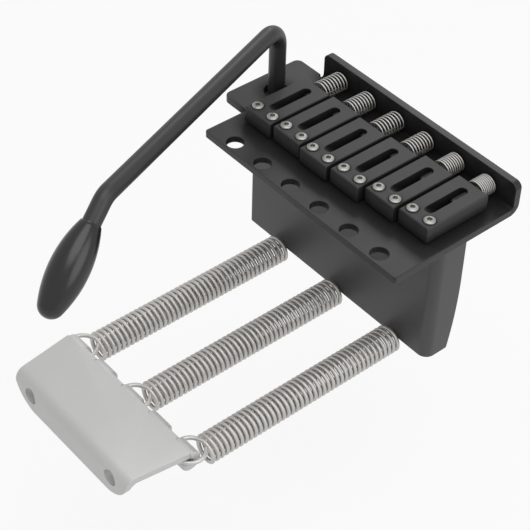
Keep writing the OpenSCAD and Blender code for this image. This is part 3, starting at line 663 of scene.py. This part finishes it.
def makeBlock():
    b = block
    piece = addBox("tremoloBlock", (b["left"], b["front"], b["foot"]), (b["right"], b["back"], b["top"]))
    # The rear face is cut at even heights, and each line is moved in along an arc
    depth, inward = b["curveFrom"] - b["foot"], b["back"] - b["footBack"]
    radius = (depth * depth + inward * inward) / (2 * inward)
    falls = [depth * step / b["curveSteps"] for step in range(b["curveSteps"] + 1)]
    for fall in falls[:-1]:
        pick(piece, "FACE", lambda centre, normal: True)
        bpy.ops.mesh.bisect(plane_co=(0, 0, (b["curveFrom"] - fall) / 1000), plane_no=(0, 0, 1))
        bpy.ops.object.mode_set(mode="OBJECT")
    for fall in falls[1:]:
        pick(piece, "VERT", lambda at: near(at.z, b["curveFrom"] - fall) and near(at.y, b["back"]))
        bpy.ops.transform.translate(value=(0, (math.sqrt(radius * radius - fall * fall) - radius) / 1000, 0))
        bpy.ops.object.mode_set(mode="OBJECT")
    upright = lambda p, q: near(p.x, q.x) and abs(p.z - q.z) > b["cornerRound"]
    roundEdges(piece, lambda p, q: upright(p, q) and near(p.y, b["front"]) and near(p.x, b["right"]),
               b["edgeRound"], b["roundSteps"])
    roundEdges(piece, lambda p, q: upright(p, q) and near(p.y, b["front"]) and near(p.x, b["left"]),
               b["cornerRound"], b["cornerSteps"])
    roundEdges(piece, lambda p, q: upright(p, q) and p.y > b["footBack"] - 0.01 and q.y > b["footBack"] - 0.01
               and (near(p.x, b["left"]) or near(p.x, b["right"])), b["cornerRound"], b["cornerSteps"])
    drills = []
    for number in range(1, 7):
        wide = b["stringR"] + b["stringChamfer"]
        rings = [(wide, b["foot"] - cutPast), (wide, b["foot"]), (b["stringR"], b["foot"] + b["stringChamfer"]),
                 (b["stringR"], b["top"] + cutPast)]
        drills.append(place(turnRings("stringHole", rings), (stringX(number), b["stringY"], 0)))
    for step in range(-2, 3):
        x = b["springMiddle"] + step * b["springStep"]
        drills.append(addDrill((x, b["springY"], b["foot"] - cutPast), b["springR"], b["springDepth"] + cutPast,
                               sides=b["springSides"]))
    drills.append(addDrill((*b["armAt"], b["armFoot"]), b["armR"], b["top"] - b["armFoot"] + cutPast))
    cut(piece, drills)
    cut(piece, [makeSink(x) for x in blockScrew["x"]])
    softenEdges(piece, b["edge"])
    shade(piece)
    hand(piece, "blackBlock", "bridge", "tremolo_block")


# ---- saddles

saddle = {"width": 9.7, "front": -2.44, "back": 17.41, "under": 0.7, "top": 5.1, "bevel": 0.28, "heel": 1.2,
          "heelSteps": 8, "slotWidth": 2.6, "slotFront": 1.6, "slotBack": 14.81, "slotRound": 0.9, "slotSteps": 6,
          "slotEndSteps": 12, "ramp": 6, "screwR": 1.55, "screwX": 2.85, "boreR": 1.2, "boreZ": 2.9, "edge": 0.09}


def makeSaddles():
    s = saddle
    half = s["width"] / 2
    master = addBox("saddle", (-half, s["front"], s["under"]), (half, s["back"], s["top"]))
    roundEdges(master, lambda a, b: near(a.y, s["back"]) and near(b.y, s["back"]) and near(a.z, s["under"])
               and near(b.z, s["under"]), s["heel"], s["heelSteps"])
    roundEdges(master, lambda a, b: near(a.z, s["top"]) and near(b.z, s["top"]), s["bevel"], 1)
    # The slot's cutter has a sloping front end and a round rear end
    rise = s["top"] - s["under"]
    slope, slotHalf = s["ramp"] / rise, s["slotWidth"] / 2
    slot = addBox("slotCutter", (-slotHalf, s["slotFront"] - slope * cutPast, s["under"] - cutPast),
                  (slotHalf, s["slotBack"], s["top"] + cutPast))
    inFront = lambda at: at.y < s["slotBack"] - s["slotWidth"]
    pick(slot, "VERT", lambda at: at.z < s["under"] and inFront(at))
    bpy.ops.transform.translate(value=(0, slope * (rise + 2 * cutPast) / 1000, 0))
    bpy.ops.object.mode_set(mode="OBJECT")
    # Just short of half the width, so that the two roundings don't meet
    roundEdges(slot, lambda a, b: near(a.y, s["slotBack"]) and near(b.y, s["slotBack"]) and near(a.x, b.x),
               slotHalf - 0.001, s["slotEndSteps"])
    roundEdges(slot, lambda a, b: inFront(a) and inFront(b) and near(a.x, b.x), s["slotRound"], s["slotSteps"])
    drills = [addDrill((side * s["screwX"], 0, s["under"] - cutPast), s["screwR"], rise + 2 * cutPast)
              for side in (-1, 1)]
    cut(master, drills)
    cut(master, [slot])
    boreFrom = s["slotBack"] - slotHalf
    cut(master, [addDrill((0, boreFrom, s["boreZ"]), s["boreR"], s["back"] - boreFrom + cutPast, (-90, 0, 0))])
    softenEdges(master, s["edge"], 1)
    shade(master)
    for number, y in enumerate(strings["saddleY"], 1):
        piece = duplicate(master, f"saddle{number}", (stringX(number), y, 0))
        hand(piece, "blackSaddle", f"saddle_{number}", f"saddle_{number}")
    bpy.data.objects.remove(master)


# ---- height screws, two in each saddle

heightScrew = {"r": 1.5, "foot": 0.15, "rim": 5.4, "rimRound": ((0, -0.12), (0.03, 0.01)), "dome": 0.35,
               "domeIn": 0.08, "domeFrom": 0.06, "domeSteps": 6, "bevel": 0.4, "threadTop": 4.9, "pitch": 0.5,
               "perTurn": 4, "threadDepth": 0.26, "hexR": 0.72, "hexDepth": 0.9, "hexPoint": (0.3, 0.35), "hexKey": 3,
               "sides": 32, "edge": 0.04, "gap": 5.7}


def makeHeightScrews():
    s = heightScrew
    count = int((s["threadTop"] - s["foot"]) / s["pitch"] * s["perTurn"])
    start = s["foot"] + s["bevel"]
    rings = [(s["r"] - s["bevel"], s["foot"]), (s["r"], start)]
    rings += [(s["r"], start + (s["threadTop"] - start) * step / count) for step in range(1, count + 1)]
    rings += [(s["r"] - inward, s["rim"] + rise) for inward, rise in s["rimRound"]]
    rings += dome(s["r"] - s["domeIn"], s["rim"] + s["domeFrom"], s["dome"] - s["domeFrom"], s["domeSteps"])
    screw = turnRings("heightScrew", rings, s["sides"])
    rollThread(screw, s["foot"], s["threadTop"], s["pitch"], s["threadDepth"])
    pointR, point = s["hexPoint"]
    hexKey = turnRings("hexKey", [(pointR, 0), (s["hexR"], point), (s["hexR"], s["hexKey"])], 6)
    cut(screw, [place(hexKey, (0, 0, s["rim"] - s["hexDepth"]))])
    softenEdges(screw, s["edge"], 1)
    for number, y in enumerate(strings["saddleY"], 1):
        pair = [duplicate(screw, "heightScrewCopy", (stringX(number) + side * s["gap"] / 2, y, 0))
                for side in (-1, 1)]
        piece = joinPieces(pair[0], pair[1:])
        piece.name = piece.data.name = f"heightScrews{number}"
        shade(piece)
        hand(piece, "brightNickel", f"height_screws_{number}", f"height_screws_{number}")
    bpy.data.objects.remove(screw)


# ---- intonation screws through the flange

intonation = {"r": 1.15, "tip": 23.0, "head": 38.0, "z": 2.9, "headR": 2.3, "headHeight": 1.9, "headBevel": 0.1,
              "headSide": 0.25, "domeSteps": 8, "bevel": 0.4, "threadTop": -0.6, "pitch": 0.5, "perTurn": 4,
              "threadDepth": 0.22, "crossHalf": 1.26, "crossWidth": 0.6, "crossDepth": 1.0, "sides": 32}


def makeIntonationScrews():
    s = intonation
    length = s["head"] - s["tip"]
    start = -length + s["bevel"]
    count = int((s["threadTop"] - start) / s["pitch"] * s["perTurn"])
    rings = [(s["r"] - s["bevel"], -length), (s["r"], start)]
    rings += [(s["r"], start + (s["threadTop"] - start) * step / count) for step in range(1, count + 1)]
    rings += [(s["r"], 0), (s["headR"] - s["headBevel"], 0), (s["headR"], s["headBevel"]),
              (s["headR"], s["headSide"])]
    rings += dome(s["headR"], s["headSide"], s["headHeight"] - s["headSide"], s["domeSteps"])
    screw = turnRings("intonationScrew", rings, s["sides"])
    rollThread(screw, -length, s["threadTop"], s["pitch"], s["threadDepth"])
    cut(screw, [place(makeCross(s["crossHalf"], s["crossWidth"], s["crossDepth"]), (0, 0, s["headHeight"]))])
    place(screw, (0, s["head"], s["z"]), (-90, 0, 0))
    for number in range(1, 7):
        piece = duplicate(screw, f"intonationScrew{number}", (stringX(number), 0, 0))
        shade(piece)
        hand(piece, "blackScrew", f"screw_{number}", f"intonation_screw_{number}")
    bpy.data.objects.remove(screw)


# ---- coil springs, drawn as a curve along the wire

saddleSpring = {"r": 2.43, "wire": 0.4, "turns": 8, "behindSaddle": 17.71, "stop": 35.4, "z": 2.9, "steps": 28}
blockSpring = {"x": (-27.3, -5.3, 16.7), "r": 3.37, "wire": 1.12, "turns": 41, "z": -45.44, "front": 16.88,
               "length": 61.0, "holeY": 19.28, "holeTop": -40.64,
               "elbow": ((0, 0, 1.35), (0, -0.08, 0.85), (0, -0.35, 0.4), (-0.05, -0.8, 0.1), (-0.35, -1.45, -0.15)),
               "leadSteps": 6, "leadFrom": 0.25, "leadDepth": 0.8, "ringR": 3.95, "ringY": -48.25, "ringRise": 3.07,
               "ringFrom": 115, "ringTo": 420, "ringSteps": 44, "steps": 24, "stillTo": -44.5, "movesFrom": 16.38}


def drawWire(name, points, wire):
    clearSelection()
    curve = bpy.data.curves.new(name, "CURVE")
    curve.dimensions = "3D"
    curve.bevel_depth = wire / 2000
    curve.bevel_resolution = 3
    curve.use_fill_caps = True
    line = curve.splines.new("POLY")
    line.points.add(len(points) - 1)
    for point, at in zip(line.points, points):
        point.co = (*(Vector(at) / 1000), 1)
    piece = bpy.data.objects.new(name, curve)
    bpy.context.collection.objects.link(piece)
    takeUp(piece)
    bpy.ops.object.convert(target="MESH")
    piece = named(name)
    bpy.ops.object.mode_set(mode="EDIT")
    bpy.ops.mesh.select_all(action="SELECT")
    bpy.ops.mesh.remove_doubles(threshold=1e-6)
    bpy.ops.mesh.normals_make_consistent(inside=False)
    bpy.ops.object.mode_set(mode="OBJECT")
    bpy.ops.object.shade_smooth_by_angle(angle=math.radians(50))
    return piece


def makeSaddleSprings():
    s = saddleSpring
    for number, y in enumerate(strings["saddleY"], 1):
        x, start = stringX(number), y + s["behindSaddle"] + s["wire"] / 2
        stop = s["stop"] - s["wire"] / 2
        points = []
        total = s["turns"] * s["steps"]
        for step in range(total + 1):
            angle = 2 * math.pi * step / s["steps"]
            points.append((x - s["r"] * math.sin(angle), start + (stop - start) * step / total,
                           s["z"] - s["r"] * math.cos(angle)))
        piece = drawWire(f"saddleSpring{number}", points, s["wire"])
        hand(piece, "springWire", None, f"intonation_spring_{number}")
        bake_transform(piece)


def makeBlockSprings():
    s = blockSpring
    hole = s["holeTop"] - s["z"]
    for number, x in enumerate(s["x"], 1):
        points = [(0, s["holeY"], hole)] + [(px, s["holeY"] + py, pz) for px, py, pz in s["elbow"]]
        for step in range(1, s["leadSteps"]):
            # The wire leaves the middle and runs out to the coil
            share = step / s["leadSteps"]
            angle = math.radians(-180 + 90 * share)
            out = s["r"] * (s["leadFrom"] + (1 - s["leadFrom"]) * share)
            points.append((out * math.cos(angle), s["front"] + s["leadDepth"] * (1 - share), out * math.sin(angle)))
        total = int((s["turns"] + 0.5) * s["steps"])
        for step in range(total + 1):
            angle = 2 * math.pi * step / s["steps"] - math.pi / 2
            points.append((s["r"] * math.cos(angle), s["front"] - s["length"] * step / total,
                           s["r"] * math.sin(angle)))
        for step in range(s["ringSteps"] + 1):
            angle = math.radians(s["ringFrom"] + (s["ringTo"] - s["ringFrom"]) * step / s["ringSteps"])
            points.append((s["ringR"] * math.cos(angle), s["ringY"] + s["ringR"] * math.sin(angle), s["ringRise"]))
        points = [(x + px, py, s["z"] + pz) for px, py, pz in points]
        piece = drawWire(f"blockSpring{number}", points, s["wire"])
        hand(piece, "springWire", None, f"tremolo_spring_{number}")
        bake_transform(piece)


# ---- arm and its plastic tip

arm = {"foot": (-36.43, 21.95), "heading": -69.9, "r": 2.225, "threadR": 2.1, "threadFoot": -20, "footBevel": 0.5,
       "threadTop": -2, "shoulder": (-0.4, 0.1), "pitch": 0.8, "perTurn": 5, "threadDepth": 0.35, "height": 19.8,
       "reach": 76.9, "bendR": 5.6, "bendSteps": 16, "kneeR": 5.3, "kneeSteps": 8, "drop": 35.3, "tail": 6.8,
       "socket": 13.5, "sides": 40, "edge": 0.25}
armTip = {"length": 23, "r": 4.65, "neckR": 2.5, "bulge": 11.1, "steps": 26, "endSteps": 12, "socketR": 2.275,
          "socket": 14, "rim": 0.06, "rimDepth": (0.2, 0.02), "sideFrom": 0.04, "sides": 64}


def armFrame(piece):
    return place(piece, (*arm["foot"], 0), (0, 0, arm["heading"]))


def tailFrame(piece, distance):
    lean = math.radians(arm["drop"])
    place(piece, (arm["reach"] + distance * math.cos(lean), 0, arm["height"] - distance * math.sin(lean)),
          (0, 90 + arm["drop"], 0))
    return armFrame(piece)


def makeArm():
    a = arm
    knee = a["kneeR"] * math.tan(math.radians(a["drop"] / 2))
    start = a["threadFoot"] + a["footBevel"]
    count = int((a["threadTop"] - a["threadFoot"]) / a["pitch"] * a["perTurn"])
    rings = [(a["threadR"] - a["footBevel"], a["threadFoot"]), (a["threadR"], start)]
    rings += [(a["threadR"], start + (a["threadTop"] - start) * step / count) for step in range(1, count + 1)]
    rings += [(a["threadR"], a["shoulder"][0]), (a["r"], a["shoulder"][1]), (a["r"], a["height"] - a["bendR"])]
    piece = turnRings("tremoloArm", rings, a["sides"])
    rollThread(piece, a["threadFoot"], a["threadTop"], a["pitch"], a["threadDepth"])
    pick(piece, "FACE", lambda centre, normal: normal.z > 0.9 and near(centre.z, a["height"] - a["bendR"]))
    spinOut((a["bendR"], 0, a["height"] - a["bendR"]), (0, 1, 0), 90, a["bendSteps"])
    drawOut((a["reach"] - knee - a["bendR"], 0, 0))
    spinOut((a["reach"] - knee, 0, a["height"] - a["kneeR"]), (0, 1, 0), a["drop"], a["kneeSteps"])
    lean = math.radians(a["drop"])
    end = a["tail"] - knee + a["socket"]
    drawOut((end * math.cos(lean), 0, -end * math.sin(lean)))
    bpy.ops.object.mode_set(mode="OBJECT")
    armFrame(piece)
    softenEdges(piece, a["edge"])
    shade(piece)
    hand(piece, "blackArm", "arm", "tremolo_arm")


def makeArmTip():
    t = armTip
    fall = t["r"] - t["neckR"]
    arc = (t["bulge"] ** 2 + fall ** 2) / (2 * fall)
    inner = arc - t["r"]
    past = t["length"] - t["bulge"]
    ball = (arc * arc - inner * inner - past * past) / (2 * (arc - past))
    joint = t["bulge"] + (past - ball) * arc / (arc - ball)
    rings = [(t["socketR"], t["socket"]), (t["socketR"], t["rimDepth"][0]),
             (t["socketR"] + t["rim"], t["rimDepth"][1]), (t["neckR"] - t["rim"], 0)]
    for step in range(t["steps"] + 1):
        z = t["sideFrom"] + (joint - t["sideFrom"]) * step / t["steps"]
        rings.append((math.sqrt(arc * arc - (z - t["bulge"]) ** 2) - inner, z))
    centre = t["length"] - ball
    startAngle = math.asin((joint - centre) / ball)
    for step in range(1, t["endSteps"]):
        angle = startAngle + (math.pi / 2 - startAngle) * step / t["endSteps"]
        rings.append((ball * math.cos(angle), centre + ball * math.sin(angle)))
    rings.append((0, t["length"]))
    piece = turnRings("armTip", rings, t["sides"])
    tailFrame(piece, arm["tail"])
    shade(piece, 50)
    hand(piece, "tipPlastic", "arm", "arm_tip")


# ---- spring claw, bent from one sheet

claw = {"middle": -5.6, "hookShift": 0.3, "top": -39.57, "thick": 2, "front": -49.15, "frontHalf": 25.1,
        "rearHalf": 23.1, "back": -67.46, "bendR": 3.2, "bendSteps": 12, "foot": -48.47, "cornerR": 8.6,
        "cornerSteps": 8, "cornerLast": 76, "holeR": 2.2, "holeX": 16.5, "holeZ": -43.47, "hookStep": 11,
        "hookHalf": 3, "hookY": -50.1, "hookR": 2.8, "hookSteps": 20, "root": 0.4, "rootShare": (0.8, 1, 0.6),
        "lip": 1.8, "lipRound": 1.3, "lipSteps": 6, "edge": 0.12, "hookEdge": 0.25, "edgeSteps": 3}


def makeClaw():
    c = claw
    bendY, bendZ = c["back"] + c["bendR"], c["top"] - c["bendR"]
    middleR, roundZ = c["bendR"] - c["thick"] / 2, c["foot"] + c["cornerR"]
    under = c["top"] - c["thick"]
    piece = addBox("springClaw", (-c["frontHalf"], bendY, under), (c["frontHalf"], c["front"], c["top"]))
    pick(piece, "VERT", lambda at: near(at.y, bendY))
    bpy.ops.transform.resize(value=(c["rearHalf"] / c["frontHalf"], 1, 1), center_override=(0, 0, 0))
    bpy.ops.object.mode_set(mode="OBJECT")
    pick(piece, "FACE", lambda centre, normal: normal.y < -0.9)
    half = c["rearHalf"]

    def narrowTo(z):
        # Each row of the bend and flange is drawn in to follow the large round corners
        drop = max(0, roundZ - z)
        wanted = c["rearHalf"] - c["cornerR"] + math.sqrt(max(0, c["cornerR"] ** 2 - drop ** 2))
        bpy.ops.transform.resize(value=(wanted / half, 1, 1), center_override=(0, 0, 0))
        return wanted

    for step in range(1, c["bendSteps"] + 1):
        spinOut((0, bendY, bendZ), (1, 0, 0), 90 / c["bendSteps"], 1)
        half = narrowTo(bendZ + middleR * math.cos(math.radians(90 * step / c["bendSteps"])))
    # The last row stays taller than the bevel that follows
    z, first = bendZ, math.degrees(math.asin((roundZ - bendZ) / c["cornerR"]))
    span = c["cornerLast"] - first
    angles = [first + span * step / c["cornerSteps"] for step in range(1, c["cornerSteps"] + 1)]
    for angle in [*angles, 90]:
        lower = roundZ - c["cornerR"] * math.sin(math.radians(angle))
        drawOut((0, 0, lower - z))
        half, z = narrowTo(lower), lower
    bpy.ops.object.mode_set(mode="OBJECT")
    frontEdge = lambda a, b: near(a.y, c["front"]) and near(b.y, c["front"])
    softenEdges(piece, c["edge"], c["edgeSteps"], frontEdge)
    cut(piece, [addDrill((side * c["holeX"], c["back"] - cutPast, c["holeZ"]), c["holeR"], c["thick"] + 2 * cutPast,
                         (-90, 0, 0)) for side in (-1, 1)])
    gaps = []
    for step in range(-2, 3):
        # The outer hooks take the sheet's corners with them
        x, half = c["hookShift"] + step * c["hookStep"], c["hookHalf"] - overlap
        left, right = x - half - cutPast * (step == -2), x + half + cutPast * (step == 2)
        gaps.append(addBox("gap", (left, c["hookY"] - overlap, under - cutPast),
                           (right, c["front"] + cutPast, c["top"] + cutPast)))
    cut(piece, gaps)
    # One hook is bent round and copied along the edge
    hook = addBox("hook", (-c["hookHalf"], c["hookY"] - c["root"], under), (c["hookHalf"], c["hookY"], c["top"]))
    pick(hook, "FACE", lambda centre, normal: normal.y > 0.9)
    spinOut((0, c["hookY"], c["top"] - c["hookR"]), (1, 0, 0), -180, c["hookSteps"])
    drawOut((0, -c["lip"], 0))
    bpy.ops.object.mode_set(mode="OBJECT")
    lipEnd = c["hookY"] - c["lip"]
    roundEdges(hook, lambda a, b: near(a.y, lipEnd) and near(b.y, lipEnd) and near(a.x, b.x), c["lipRound"],
               c["lipSteps"])
    softenEdges(hook, c["hookEdge"], c["edgeSteps"])
    # Its root thins inside the sheet
    pick(hook, "VERT", lambda at: at.z > under - overlap and at.y < c["hookY"] - 0.01)
    bpy.ops.transform.resize(value=c["rootShare"], center_override=(0, 0, (c["top"] + under) / 2000))
    bpy.ops.object.mode_set(mode="OBJECT")
    hooks = [duplicate(hook, "hookCopy", (c["hookShift"] + step * c["hookStep"], 0, 0)) for step in range(-2, 3)]
    bpy.data.objects.remove(hook)
    cut(piece, hooks, "UNION")
    roundEdges(piece, lambda a, b: frontEdge(a, b) and near(a.z, b.z), c["hookEdge"], c["edgeSteps"])
    place(piece, (c["middle"], 0, 0))
    shade(piece, 40, weighted=False)
    hand(piece, "clawZinc", "claw", "spring_claw")


for make in (makePlate, makeBlockScrews, makeBlock, makeSaddles, makeHeightScrews, makeIntonationScrews,
             makeSaddleSprings, makeBlockSprings, makeArm, makeArmTip, makeClaw):
    make()
    print("made:", make.__name__[4:])
